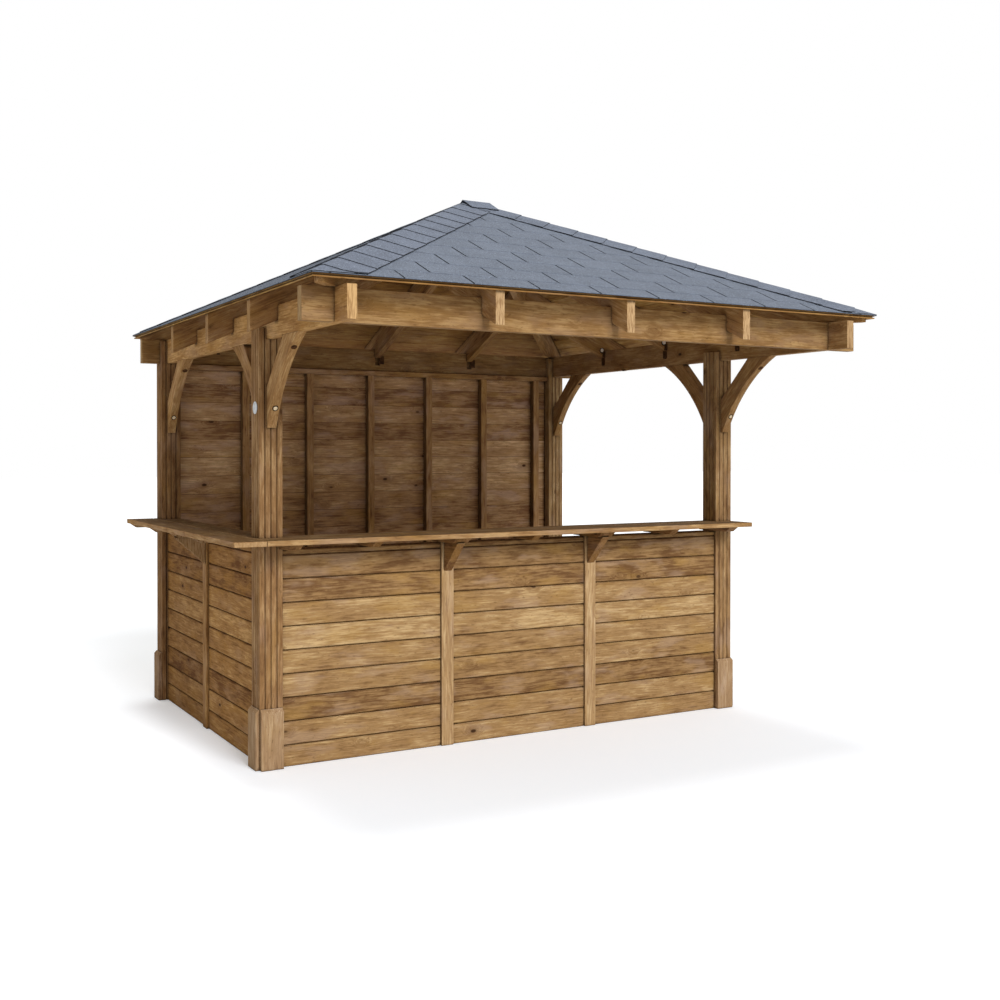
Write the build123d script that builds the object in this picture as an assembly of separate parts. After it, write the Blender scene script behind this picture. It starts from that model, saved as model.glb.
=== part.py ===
from build123d import *
import math
import os

# Outdoor garden bar: hipped canopy on four fluted posts, counter on the front
# and left sides, full back wall, open right side. Millimetres, Z up, X to the
# right, front is -Y, origin on the ground below the middle of the outline.

# roof
roof_depth = 3010
ridge_length = 150
roof_pitch = 24.7
eave_lift = 15
deck_thickness = 18
shingle_thickness = 6
shingle_lip = 8
cap_thickness = 5
cap_half_width = 174
ridge_cap_half_length = 105
ridge_cap_half_width = 112
ridge_cap_lift = 9

# roof timbers
timber_width = 45
rafter_depth = 140
rafter_setback = 15
hip_setback = 30
front_rafter_pitch = 705
side_rafter_pitch = 665

# beams
beam_width = 45
beam_height = 145
beam_underside = 2063
beam_setback_x = 5
beam_setback_y = 5
side_eave = 150
end_eave = 138
pocket_width = 38
pocket_height = 50
pocket_depth = 18

# posts
side_lamination = 36
flute_count = 3
flute_pitch = 30
flute_width = 9
flute_depth = 6
canopy_reach = 843
front_fork_rise = 52
back_fork_rise = 135

# plinth boards
plinth_height = 292
plinth_thickness = 20
plinth_inset = 2
plinth_bevel_height = 16
plinth_bevel_depth = 15

# braces
brace_drop = 425
brace_reach = 415
brace_foot = 15
brace_inner_leg = 232
brace_sag = 50

# low walls
board_thickness = 19
wall_height = 1058
front_post_recess = 0
side_post_recess = 22
front_board_recess = 12
side_board_recess = 36
mid_post_width = 70
mid_post_depth = 60
front_mid_reach = 484
side_panel_length = 833

# counter
counter_thickness = 25
counter_overhang = 184
counter_end_board = 160
bearer_thickness = 27
bearer_width = 90
corner_bearer_width = 60
corner_bearer_lap = 20
bay_bearer_width = 45
bearer_setback = 12
bearer_bevel = 40
knee_width = 45
knee_height = 152
knee_setback = 25

# back wall
stud_width = 45
rail_height = 32
stud_depth = 45
stud_pitch = 435
first_stud = 424

# plate on the front left post
plate_height = 60
plate_width = 60
plate_thickness = 2
plate_centre = 1735

# derived places
beam_top = beam_underside + beam_height
eave_height = beam_top + eave_lift
ridge_half = ridge_length / 2
half_y = roof_depth / 2
half_x = half_y + ridge_half
rise = math.tan(math.radians(roof_pitch))
ridge_rise = half_y * rise
slant = math.cos(math.radians(roof_pitch))
deck_plumb = deck_thickness / slant
shingle_plumb = shingle_thickness / slant
cap_plumb = cap_thickness / slant
rafter_plumb = rafter_depth / slant

beam_out_x = half_x - side_eave
beam_out_y = half_y - end_eave
beam_end_x = half_x - beam_setback_x
beam_end_y = half_y - beam_setback_y

post_size = beam_width + 2 * side_lamination
post_out_x = beam_out_x + side_lamination
post_in_x = post_out_x - post_size
front_post_y = -beam_out_y + canopy_reach
front_post_back_y = front_post_y + post_size
back_post_y = beam_out_y + side_lamination
back_post_front_y = back_post_y - post_size

panel_front_y = front_post_y + front_board_recess
panel_left_x = -post_out_x + side_board_recess
mid_front_y = front_post_y + front_post_recess
mid_left_x = -post_out_x + side_post_recess
side_mid_front = front_post_back_y + side_panel_length

counter_underside = wall_height + bearer_thickness
counter_front_y = front_post_y - counter_overhang
counter_left_x = -post_out_x - counter_overhang
counter_joint_x = counter_left_x + counter_end_board

# the origin lies below the middle of the whole outline
middle_x = (counter_left_x + half_x + shingle_lip) / 2

# room for the bodies that trim the roof pieces
plan_margin = 60
roof_base = beam_underside - beam_height
roof_room = eave_height + ridge_rise - roof_base + plan_margin
sides = ("front", "back", "left", "right")
corners = ((-1, -1), (1, -1), (1, 1), (-1, 1))


def block(x0, x1, y0, y1, z0, z1):
    """Box between two corners."""
    size = (x1 - x0, y1 - y0, z1 - z0)
    return Pos((x0 + x1) / 2, (y0 + y1) / 2, (z0 + z1) / 2) * Box(*size)


def prism(points, direction, amount):
    """Straight sided body from a closed outline."""
    outline = make_face(Polyline(*points, close=True))
    return extrude(outline, amount=amount, dir=direction)


def mirrored(shape, across):
    """Copy on the other side of the roof's middle."""
    return mirror(shape, about=across)


# roof form
def under_roof(reach, lift):
    """Body below the hipped surface, widened by reach and raised by lift."""
    eave_z = eave_height - reach * rise + lift
    top_z = eave_height + ridge_rise + lift
    out_x = half_x + reach
    out_y = half_y + reach
    across = [(-out_x, -out_y, roof_base), (-out_x, out_y, roof_base), (-out_x, out_y, eave_z),
              (-out_x, 0, top_z), (-out_x, -out_y, eave_z)]
    along = [(-out_x, -out_y, roof_base), (out_x, -out_y, roof_base), (out_x, -out_y, eave_z),
             (ridge_half, -out_y, top_z), (-ridge_half, -out_y, top_z), (-out_x, -out_y, eave_z)]
    return prism(across, (1, 0, 0), 2 * out_x) & prism(along, (0, 1, 0), 2 * out_y)


def roof_layer(reach, lift, depth):
    """Sheet of even plumb depth that follows the four slopes."""
    return under_roof(reach, lift + depth) - under_roof(reach, lift)


def slope_plan(side):
    """Tall prism over one slope, bounded by the hips."""
    far_x = half_x + plan_margin
    far_y = half_y + plan_margin
    if side == "front":
        points = [(-far_x, -far_y), (far_x, -far_y), (ridge_half, 0), (-ridge_half, 0)]
    elif side == "back":
        points = [(-far_x, far_y), (far_x, far_y), (ridge_half, 0), (-ridge_half, 0)]
    elif side == "left":
        points = [(-far_x, -far_y), (-far_x, far_y), (-ridge_half, 0)]
    else:
        points = [(far_x, -far_y), (far_x, far_y), (ridge_half, 0)]
    return prism([(x, y, roof_base) for x, y in points], (0, 0, 1), roof_room)


def hip_strip(side_x, side_y, half_width):
    """Tall strip in plan that runs along one hip."""
    run = half_y + plan_margin
    length = run * math.sqrt(2)
    turn = math.degrees(math.atan2(side_y, side_x))
    middle = Pos(side_x * (ridge_half + run / 2), side_y * run / 2, roof_base + roof_room / 2)
    return middle * Rot(0, 0, turn) * Box(length, 2 * half_width, roof_room)


def decks():
    sheet = roof_layer(0, 0, deck_plumb)
    return {side: sheet & slope_plan(side) for side in sides}


def shingles():
    sheet = roof_layer(shingle_lip, deck_plumb, shingle_plumb)
    return {side: sheet & slope_plan(side) for side in sides}


def roof_caps():
    sheet = roof_layer(shingle_lip, deck_plumb + shingle_plumb, cap_plumb)
    plan = block(-ridge_half, ridge_half, -cap_half_width, cap_half_width, roof_base, roof_base + roof_room)
    for side_x, side_y in corners:
        plan += hip_strip(side_x, side_y, cap_half_width)
    return (sheet & plan) + ridge_cap()


def ridge_cap():
    """Stiff fold along the ridge that touches the caps at its crest and springs off them below."""
    crest = eave_height + ridge_rise + deck_plumb + shingle_plumb + cap_plumb
    edge = crest - ridge_cap_half_width * rise + ridge_cap_lift
    x = -ridge_cap_half_length
    w = ridge_cap_half_width
    points = [(x, -w, edge), (x, 0, crest - cap_plumb / 2), (x, w, edge), (x, w, edge + cap_plumb),
              (x, 0, crest + cap_plumb), (x, -w, edge + cap_plumb)]
    return prism(points, (1, 0, 0), 2 * ridge_cap_half_length)


# roof timbers
def rafter_seat(eave):
    """Height of the rafters' lower edge at the inner face of a beam set in by eave."""
    return eave_height + (eave + beam_width) * rise - rafter_plumb


def ring_beams():
    """Front and back beams lie over the side beams, halved at the crossings. Each has a bolt
    pocket below every rafter, on its inner face."""
    half_z = beam_underside + beam_height / 2
    inner_x = beam_out_x - beam_width
    inner_y = beam_out_y - beam_width
    front = block(-beam_end_x, beam_end_x, -beam_out_y, -inner_y, beam_underside, beam_top)
    left = block(-beam_out_x, -inner_x, -beam_end_y, beam_end_y, beam_underside, beam_top)
    for sign in (-1, 1):
        near_x, far_x = sorted((sign * inner_x, sign * beam_out_x))
        near_y, far_y = sorted((sign * inner_y, sign * beam_out_y))
        front -= block(near_x, far_x, -beam_out_y, -inner_y, beam_underside, half_z)
        left -= block(-beam_out_x, -inner_x, near_y, far_y, half_z, beam_top)
    half_w = pocket_width / 2
    top = rafter_seat(end_eave)
    for place in (-front_rafter_pitch, 0, front_rafter_pitch):
        deep_y = -inner_y - pocket_depth
        front -= block(place - half_w, place + half_w, deep_y, -inner_y, top - pocket_height, top)
    top = rafter_seat(side_eave)
    for place in (-side_rafter_pitch, 0, side_rafter_pitch):
        deep_x = -inner_x - pocket_depth
        left -= block(deep_x, -inner_x, place - half_w, place + half_w, top - pocket_height, top)
    return {"front": front, "back": mirrored(front, Plane.XZ), "left": left, "right": mirrored(left, Plane.YZ)}


def beam_ring_space():
    """Space taken by the ring of beams, for the rafter notches."""
    inner_x = beam_out_x - beam_width
    inner_y = beam_out_y - beam_width
    ring = block(-half_x, half_x, -beam_out_y, -inner_y, beam_underside, beam_top)
    ring += block(-half_x, half_x, inner_y, beam_out_y, beam_underside, beam_top)
    ring += block(-beam_out_x, -inner_x, -half_y, half_y, beam_underside, beam_top)
    return ring + block(inner_x, beam_out_x, -half_y, half_y, beam_underside, beam_top)


def rafters():
    """Middle rafters reach the ridge board, jack rafters stop at the hips."""
    sheet = roof_layer(-rafter_setback, -rafter_plumb, rafter_plumb)
    half_t = timber_width / 2
    hip_gap = half_t * math.sqrt(2)
    ring = beam_ring_space()
    lift = (roof_base, roof_base + roof_room)
    front = []
    left = []
    middle = block(-half_t, half_t, -half_y, -half_t, *lift)
    front.append(sheet & middle)
    middle = block(-half_x, -ridge_half, -half_t, half_t, *lift)
    left.append(sheet & middle)
    for sign in (-1, 1):
        place = sign * front_rafter_pitch
        inner_y = [-(abs(x) - ridge_half) - hip_gap for x in (place - half_t, place + half_t)]
        plan = [(place - half_t, -half_y), (place + half_t, -half_y),
                (place + half_t, inner_y[1]), (place - half_t, inner_y[0])]
        front.append(sheet & prism([(x, y, roof_base) for x, y in plan], (0, 0, 1), roof_room))
        place = sign * side_rafter_pitch
        inner_x = [-(abs(y) + ridge_half) - hip_gap for y in (place - half_t, place + half_t)]
        plan = [(-half_x, place - half_t), (-half_x, place + half_t),
                (inner_x[1], place + half_t), (inner_x[0], place - half_t)]
        left.append(sheet & prism([(x, y, roof_base) for x, y in plan], (0, 0, 1), roof_room))
    front = Compound([(piece - ring).solid() for piece in front])
    left = Compound([(piece - ring).solid() for piece in left])
    return {"front": front, "back": mirrored(front, Plane.XZ), "left": left, "right": mirrored(left, Plane.YZ)}


def hips():
    """Hip rafters seat on the beam crossings and meet at the ridge board."""
    sheet = roof_layer(-hip_setback, -rafter_plumb, rafter_plumb)
    seat = block(-half_x, half_x, -half_y, half_y, beam_top, roof_base + roof_room)
    half_t = timber_width / 2
    hip = sheet & hip_strip(-1, -1, half_t) & seat
    hip -= block(-half_x, half_x, -half_t, half_y, roof_base, roof_base + roof_room)
    hip = hip.solid()
    pair = [hip, mirrored(hip, Plane.YZ)]
    return Compound(pair + [mirrored(piece, Plane.XZ) for piece in pair])


def ridge():
    sheet = roof_layer(0, -rafter_plumb, rafter_plumb)
    half_t = timber_width / 2
    return sheet & block(-ridge_half, ridge_half, -half_t, half_t, roof_base, roof_base + roof_room)


# posts
def flute_edge():
    """Points along one face of the post, from corner to corner, with its flutes."""
    points = [(-post_size / 2, 0)]
    for index in range(flute_count):
        centre = (index - (flute_count - 1) / 2) * flute_pitch
        points += [(centre - flute_width / 2, 0), (centre, flute_depth), (centre + flute_width / 2, 0)]
    return points


def post(centre_x, centre_y, rise_above):
    """Fluted post whose outer laminations rise as a fork beside the beam."""
    outline = []
    for turn in range(4):
        angle = math.radians(90 * turn)
        for along, inward in flute_edge():
            x = along
            y = -post_size / 2 + inward
            outline.append((centre_x + x * math.cos(angle) - y * math.sin(angle),
                            centre_y + x * math.sin(angle) + y * math.cos(angle), 0))
    body = prism(outline, (0, 0, 1), beam_underside + rise_above)
    slot = (beam_underside, beam_underside + rise_above)
    half_b = beam_width / 2
    body -= block(centre_x - half_b, centre_x + half_b, centre_y - post_size, centre_y + post_size, *slot)
    return body


def posts():
    centre_x = post_out_x - post_size / 2
    half_b = beam_width / 2
    front = post(-centre_x, front_post_y + post_size / 2, front_fork_rise)
    back_centre = back_post_y - post_size / 2
    back = post(-centre_x, back_centre, back_fork_rise)
    back -= block(-centre_x - post_size, -centre_x + post_size, back_centre - half_b, back_centre + half_b,
                  beam_underside, beam_top)
    return {"front_left": front, "front_right": mirrored(front, Plane.YZ),
            "back_left": back, "back_right": mirrored(back, Plane.YZ)}


def plinth_board(centre, turn):
    """Bevelled board that stands against a post face looking along -Y before it is turned."""
    half_w = post_size / 2 - plinth_inset
    face = -post_size / 2
    shoulder = plinth_height - plinth_bevel_height
    points = [(-half_w, face, 0), (-half_w, face - plinth_thickness, 0),
              (-half_w, face - plinth_thickness, shoulder),
              (-half_w, face - plinth_thickness + plinth_bevel_depth, plinth_height),
              (-half_w, face, plinth_height)]
    board = prism(points, (1, 0, 0), 2 * half_w)
    return Pos(centre[0], centre[1], 0) * Rot(0, 0, turn) * board


def plinths():
    centre_x = post_out_x - post_size / 2
    front_centre = (-centre_x, front_post_y + post_size / 2)
    back_centre = (-centre_x, back_post_y - post_size / 2)
    front = [plinth_board(front_centre, 0), plinth_board(front_centre, -90)]
    back = [plinth_board(back_centre, 180), plinth_board(back_centre, -90)]
    front += [mirrored(piece, Plane.YZ) for piece in front]
    back += [mirrored(piece, Plane.YZ) for piece in back]
    return {"front": Compound(front), "back": Compound(back)}


# braces
def brace(post_face, sign):
    """Curved knee brace in the plane of a side beam, reaching along sign * Y."""
    foot_z = beam_underside - brace_drop
    foot = (post_face + sign * brace_foot, foot_z)
    tip = (post_face + sign * brace_reach, beam_underside)
    chord = (tip[0] - foot[0], tip[1] - foot[1])
    length = math.hypot(*chord)
    middle = ((foot[0] + tip[0]) / 2 - sign * chord[1] / length * brace_sag,
              (foot[1] + tip[1]) / 2 + sign * chord[0] / length * brace_sag)
    x = -beam_out_x
    edges = [Line((x, post_face, foot_z), (x, *foot)),
             ThreePointArc((x, *foot), (x, *middle), (x, *tip)),
             Line((x, *tip), (x, post_face + sign * brace_inner_leg, beam_underside)),
             Line((x, post_face + sign * brace_inner_leg, beam_underside),
                  (x, post_face, beam_underside - brace_inner_leg)),
             Line((x, post_face, beam_underside - brace_inner_leg), (x, post_face, foot_z))]
    return extrude(make_face(Wire(edges)), amount=beam_width, dir=(1, 0, 0))


def braces():
    left = {"front_left_fore": brace(front_post_y, -1), "front_left_rear": brace(front_post_back_y, 1),
            "back_left": brace(back_post_front_y, -1)}
    right = {name.replace("left", "right"): mirrored(piece, Plane.YZ) for name, piece in left.items()}
    return left | right


# low walls
def front_wall():
    """Three board panels between the front posts and two narrow posts."""
    back_y = panel_front_y + board_thickness
    near = (-front_mid_reach, mid_post_width - front_mid_reach)
    far = (front_mid_reach - mid_post_width, front_mid_reach)
    panels = {"left": block(-post_in_x, near[0], panel_front_y, back_y, 0, wall_height),
              "middle": block(near[1], far[0], panel_front_y, back_y, 0, wall_height),
              "right": block(far[1], post_in_x, panel_front_y, back_y, 0, wall_height)}
    mids = Compound([block(x0, x1, mid_front_y, mid_front_y + mid_post_depth, 0, wall_height)
                     for x0, x1 in (near, far)])
    return panels, mids


def side_wall():
    """Two board panels between the left posts and one narrow post."""
    inner_x = panel_left_x + board_thickness
    mid = (side_mid_front, side_mid_front + mid_post_width)
    panels = {"front": block(panel_left_x, inner_x, front_post_back_y, mid[0], 0, wall_height),
              "back": block(panel_left_x, inner_x, mid[1], back_post_front_y, 0, wall_height)}
    mid_post = block(mid_left_x, mid_left_x + mid_post_depth, *mid, 0, wall_height)
    return panels, mid_post


# counter
def counter():
    """Front counter ends at the right post, the left one runs through to the front edge."""
    levels = (counter_underside, counter_underside + counter_thickness)
    front = block(counter_joint_x, post_out_x, counter_front_y, front_post_back_y, *levels)
    left = block(counter_left_x, counter_joint_x, counter_front_y, back_post_y, *levels)
    left += block(counter_joint_x, -post_in_x, front_post_back_y, back_post_y, *levels)
    for side in (-1, 1):
        near, far = sorted((side * post_in_x, side * post_out_x))
        front -= block(near, far, front_post_y, front_post_back_y, *levels)
    left -= block(-post_out_x, -post_in_x, back_post_front_y, back_post_y, *levels)
    return front, left


def bearer(half_width):
    """Bearer lying across the wall top with its outer end bevelled, outer end at the origin."""
    depth = counter_overhang + post_size - 2 * bearer_setback
    points = [(-half_width, 0, bearer_thickness), (-half_width, bearer_bevel, 0),
              (-half_width, depth, 0), (-half_width, depth, bearer_thickness)]
    return prism(points, (1, 0, 0), 2 * half_width)


def knee(recess):
    """Triangular knee below a bearer, against the face of a narrow post."""
    seat = counter_overhang - bearer_setback + recess
    half_k = knee_width / 2
    points = [(-half_k, knee_setback, 0), (-half_k, seat, 0), (-half_k, seat, -knee_height)]
    return prism(points, (1, 0, 0), knee_width)


def brackets():
    """Kneed bearers at the narrow posts, plain ones between them and at the counters' ends."""
    front_y = counter_front_y + bearer_setback
    side_x = counter_left_x + bearer_setback
    front_kneed = bearer(bearer_width / 2) + knee(front_post_recess)
    side_kneed = bearer(bearer_width / 2) + knee(side_post_recess)
    plain = bearer(bay_bearer_width / 2)
    end = bearer(corner_bearer_width / 2)
    half_m = mid_post_width / 2
    bay_x = (front_mid_reach + post_in_x) / 2
    end_x = post_in_x + corner_bearer_lap - corner_bearer_width / 2
    turned = Rot(0, 0, -90)
    pieces = [Pos(half_m - front_mid_reach, front_y, wall_height) * front_kneed,
              Pos(front_mid_reach - half_m, front_y, wall_height) * front_kneed,
              Pos(side_x, side_mid_front + half_m, wall_height) * turned * side_kneed]
    pieces += [Pos(x, front_y, wall_height) * plain for x in (-bay_x, 0, bay_x)]
    pieces += [Pos(side_x, (near + far) / 2, wall_height) * turned * plain
               for near, far in ((front_post_back_y, side_mid_front),
                                 (side_mid_front + mid_post_width, back_post_front_y))]
    pieces += [(Pos(x, front_y, wall_height) * end) - post_room(front_post_y) for x in (-end_x, end_x)]
    last = Pos(side_x, back_post_y - bay_bearer_width / 2, wall_height) * turned * plain
    pieces.append(last - post_room(back_post_front_y))
    return Compound([piece.solid() for piece in pieces])


def post_room(near_y):
    """Footprint of both posts of one row."""
    room = block(-post_out_x, -post_in_x, near_y, near_y + post_size, 0, beam_top)
    return room + mirrored(room, Plane.YZ)


# back wall
def back_wall():
    """Boards hang from the back beam, with studs and a top rail on the inside."""
    board_y = beam_out_y - board_thickness
    stud_y = board_y - stud_depth
    rail_z = beam_underside - rail_height
    boards = block(-post_in_x, post_in_x, board_y, beam_out_y, 0, beam_underside)
    rail = block(-post_in_x, post_in_x, stud_y, board_y, rail_z, beam_underside)
    room = 2 * post_in_x - first_stud - stud_width / 2
    stud_count = int(room // stud_pitch) + 1
    places = [first_stud - post_in_x + index * stud_pitch for index in range(stud_count)]
    half_s = stud_width / 2
    studs = Compound([block(x - half_s, x + half_s, stud_y, board_y, 0, rail_z) for x in places])
    return boards, rail, studs


def plate():
    """Blank oval plate on the outer face of the front left post."""
    centre_y = front_post_y + post_size / 2
    place = Plane(origin=(-post_out_x, centre_y, plate_centre), x_dir=(0, 1, 0), z_dir=(-1, 0, 0))
    return extrude(place * Ellipse(plate_width / 2, plate_height / 2), amount=plate_thickness)


parts = {"hip_and_ridge_caps": roof_caps(), "hip_rafters": hips(), "ridge_board": ridge()}
parts |= {f"roof_boards_{side}": piece for side, piece in decks().items()}
parts |= {f"shingles_{side}": piece for side, piece in shingles().items()}
parts |= {f"{side}_rafters": piece for side, piece in rafters().items()}
parts |= {f"beam_{side}": piece for side, piece in ring_beams().items()}
parts |= {f"post_{place}": piece for place, piece in posts().items()}
parts |= {f"{side}_plinth_boards": piece for side, piece in plinths().items()}
parts |= {f"brace_{place}": piece for place, piece in braces().items()}
front_panels, parts["front_mid_posts"] = front_wall()
side_panels, parts["side_mid_post"] = side_wall()
parts |= {f"front_panel_{place}": piece for place, piece in front_panels.items()}
parts |= {f"side_panel_{place}": piece for place, piece in side_panels.items()}
parts["counter_front"], parts["counter_left"] = counter()
parts["counter_brackets"] = brackets()
parts["back_wall_boards"], parts["back_wall_top_rail"], parts["back_wall_studs"] = back_wall()
parts["post_plate"] = plate()

os.makedirs("parts", exist_ok=True)
for name, piece in parts.items():
    export_step(Pos(-middle_x, 0, 0) * piece, f"parts/{name}.step")
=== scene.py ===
"""Outdoor garden bar under a hipped shingle roof: boards, shingles, fixings, wood and light
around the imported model. Metres; front is -Y, left is -X, the origin is under the middle."""
import bmesh
import bpy
import math
import random
from mathutils import Matrix, Vector


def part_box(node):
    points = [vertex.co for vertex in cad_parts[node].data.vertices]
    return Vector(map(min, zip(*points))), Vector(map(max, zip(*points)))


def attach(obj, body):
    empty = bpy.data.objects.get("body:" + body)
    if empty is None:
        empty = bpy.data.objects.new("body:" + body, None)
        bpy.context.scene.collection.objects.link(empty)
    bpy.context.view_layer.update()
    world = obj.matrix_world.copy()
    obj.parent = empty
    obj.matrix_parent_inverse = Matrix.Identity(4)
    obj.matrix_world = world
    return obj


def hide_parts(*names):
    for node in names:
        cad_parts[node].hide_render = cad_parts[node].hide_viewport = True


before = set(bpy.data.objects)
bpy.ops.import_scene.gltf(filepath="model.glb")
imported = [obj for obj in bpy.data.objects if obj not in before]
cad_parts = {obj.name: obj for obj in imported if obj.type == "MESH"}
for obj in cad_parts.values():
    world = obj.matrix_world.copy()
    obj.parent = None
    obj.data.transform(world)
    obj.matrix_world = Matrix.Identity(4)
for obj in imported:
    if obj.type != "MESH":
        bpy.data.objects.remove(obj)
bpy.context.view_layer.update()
rng = random.Random(4)
SIDES = ("front", "back", "left", "right")

# sizes shared with the CAD
MIDDLE = .031  # x of the roof's middle
ROOF_X, ROOF_Y, RIDGE = 1.580, 1.505, .075  # middle to eaves, and half the ridge
EAVE_Z = 2.223
PITCH = math.radians(24.7)
SLOPE_T, SLOPE_C, SLOPE_S = math.tan(PITCH), math.cos(PITCH), math.sin(PITCH)
HIP_SLOPE = SLOPE_T / math.sqrt(2)
DECK, SHINGLES, LIP = .018, .006, .008
BRACE_X, POST = 1.4075, .117
FRONT_FACE, BACK_FACE = -.524, 1.286
BEAM_Z, BRACE_DROP, BRACE_REACH, BRACE_FOOT, BRACE_SAG = 2.063, .425, .415, .015, .050
SIDE_RAFTERS, FRONT_RAFTERS = (-.6875, -.0225, .6425), (-.705, 0, .705)
SIDE_BEAM_FACE, FRONT_BEAM_FACE, RAFTER_FOOT_X = 1.3855, 1.3225, 1.374

# wall boards; depths are measured from the outer face
BOARD_THICK, WALL_BOARD, FIRST_BOARD, LEAST_BOARD = .019, .1152, .103, .02
END_GAP, SUNK = .003, .0007
JOINT_GAP, CHAMFER, CHAMFER_DEPTH = .0018, .0046, .0050
TONGUE, TONGUE_DEPTH = .008, .011
ARRIS, INNER_ARRIS = .0015, .001

# roof deck boards
DECK_BOARD, LEAST_DECK_BOARD, VEE = .1175, .03, .003
EAVE_GROOVE, EAVE_GROOVE_HALF = .007, .003
MITRE_GAP, LEAST_HALF, RIDGE_JOINT, EAVE_LIFT = .0003, .0005, .0005, .001

# shingles: courses and tabs, then heights above the deck
COURSE, TAB, STAGGER, SLIT = .1668, .3305, .1728, .009
FIRST_LINE, FIRST_SLIT = .102, -1.179
PLY, TAPER, TAB_HEIGHT, LAP_HEIGHT = .0032, .0016, .0056, .0026
LEAST_TAB_HEIGHT, LEAST_STRIP_HEIGHT = .0002, .0003
OVERHANG, STRIP_LAP, TAB_LAP = .02, .004, .012
HIP_GAP, RIDGE_GAP = .001, .002
BUTT_STEPS, BUTT_SHIFT, BUTT_WAVE, TAB_LIFT = 10, .0012, .0005, .0004
LEAST_PLATE = 4e-5  # square metres

# hip and ridge caps
HIP_STRETCH = math.sqrt(1 + HIP_SLOPE ** 2)
CAP_HALF, CAP_STEP, CAP_FIRST, CAP_LAP = .174, .1735, .052, .012
CAP, CAP_PLY, CAP_HEIGHT, CAP_TAPER = .005, .0034, .0076, .0040
LAST_CAP_HEIGHT, LAST_CAP_RISE = .0020, .0016
CAP_SKEW, CAP_WAVE = .002, .0004
MOST_CAPS, LEAST_LAST_CAP, CAP_ROWS = 13, .02, 4
HIP_ROUNDING, RIDGE_ROUNDING, RIDGE_CAP_FALL = .012, .004, .8
RIDGE_CAP_HALF, RIDGE_CAP_WIDE, RIDGE_CAP_LIFT, RIDGE_CAP_SHIFT = .088, .112, .011, .014
ACROSS_CAP = [-1, -.75, -.5, -.25, -.1, -.03, 0, .03, .1, .25, .5, .75, 1]

# counter
COUNTER_BOARD, COUNTER_GAP, COUNTER_ARRIS = .150, .0015, .0022

# fixings: shares of the way up a brace, then radii
PLUG_AT, BORE_AT = .17, .80
HOLE, PLUG, BORE = .0150, .0102, .0145
BOLT_RING, BOLT, NAIL_HOLE, FIXING_DEPTH = .0190, .0120, .0090, .006
HOLE_PROUD, PLUG_PROUD, BORE_PROUD, RING_PROUD, BOLT_PROUD = .0015, .0022, .0012, .0010, .0040
DISC_POINTS = 20
BOLT_X, BOLT_Z, RING_Z = 1.358, 2.2090, 2.2070
NAIL_X, NAIL_Y, NAIL_Z = 1.376, .422, 2.058
# mortise mouths: sideways from the rafter, half width, lowest and highest point
SIDE_MORTISE = (.0225, .018, 2.116, 2.162)
FOOT_MORTISE = (0, .0105, 2.160, 2.200)
FRONT_MORTISE = (.028, .018, 2.112, 2.166)
MORTISE_DEPTH, MORTISE_PROUD = .002, .0012

# packed timbers
TIMBER_ARRIS, WELD = .0016, .00005

# light
WORLD_LEVEL, WORLD_TINT = .50, (1.015, .99, .95, 1)
FLOOR_COLOR, FLOOR_GLOW, FLOOR_REACH = (.845, .872, .898, 1), .22, 60
# name, azimuth (0 from the front, + from the right), elevation, strength, angular size, colour
SUNS = (("key", 3, 32, 2.5, 26, (.99, 1, 1.05)), ("overhead", 180, 83, 1.0, 14, (1, 1, 1)))

# camera, solved from the photograph's straight edges; angles from level and from +Y
CAMERA_PLACE, CAMERA_DIP, CAMERA_TURN = (-3.2729, -5.8829, 1.5305), .4994, -28.8697
FOCAL_PIXELS, PHOTO_PIXELS, SENSOR = 1172.11, 1000, 36
SHIFT_X, SHIFT_Y = .03534, -.03944


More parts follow.
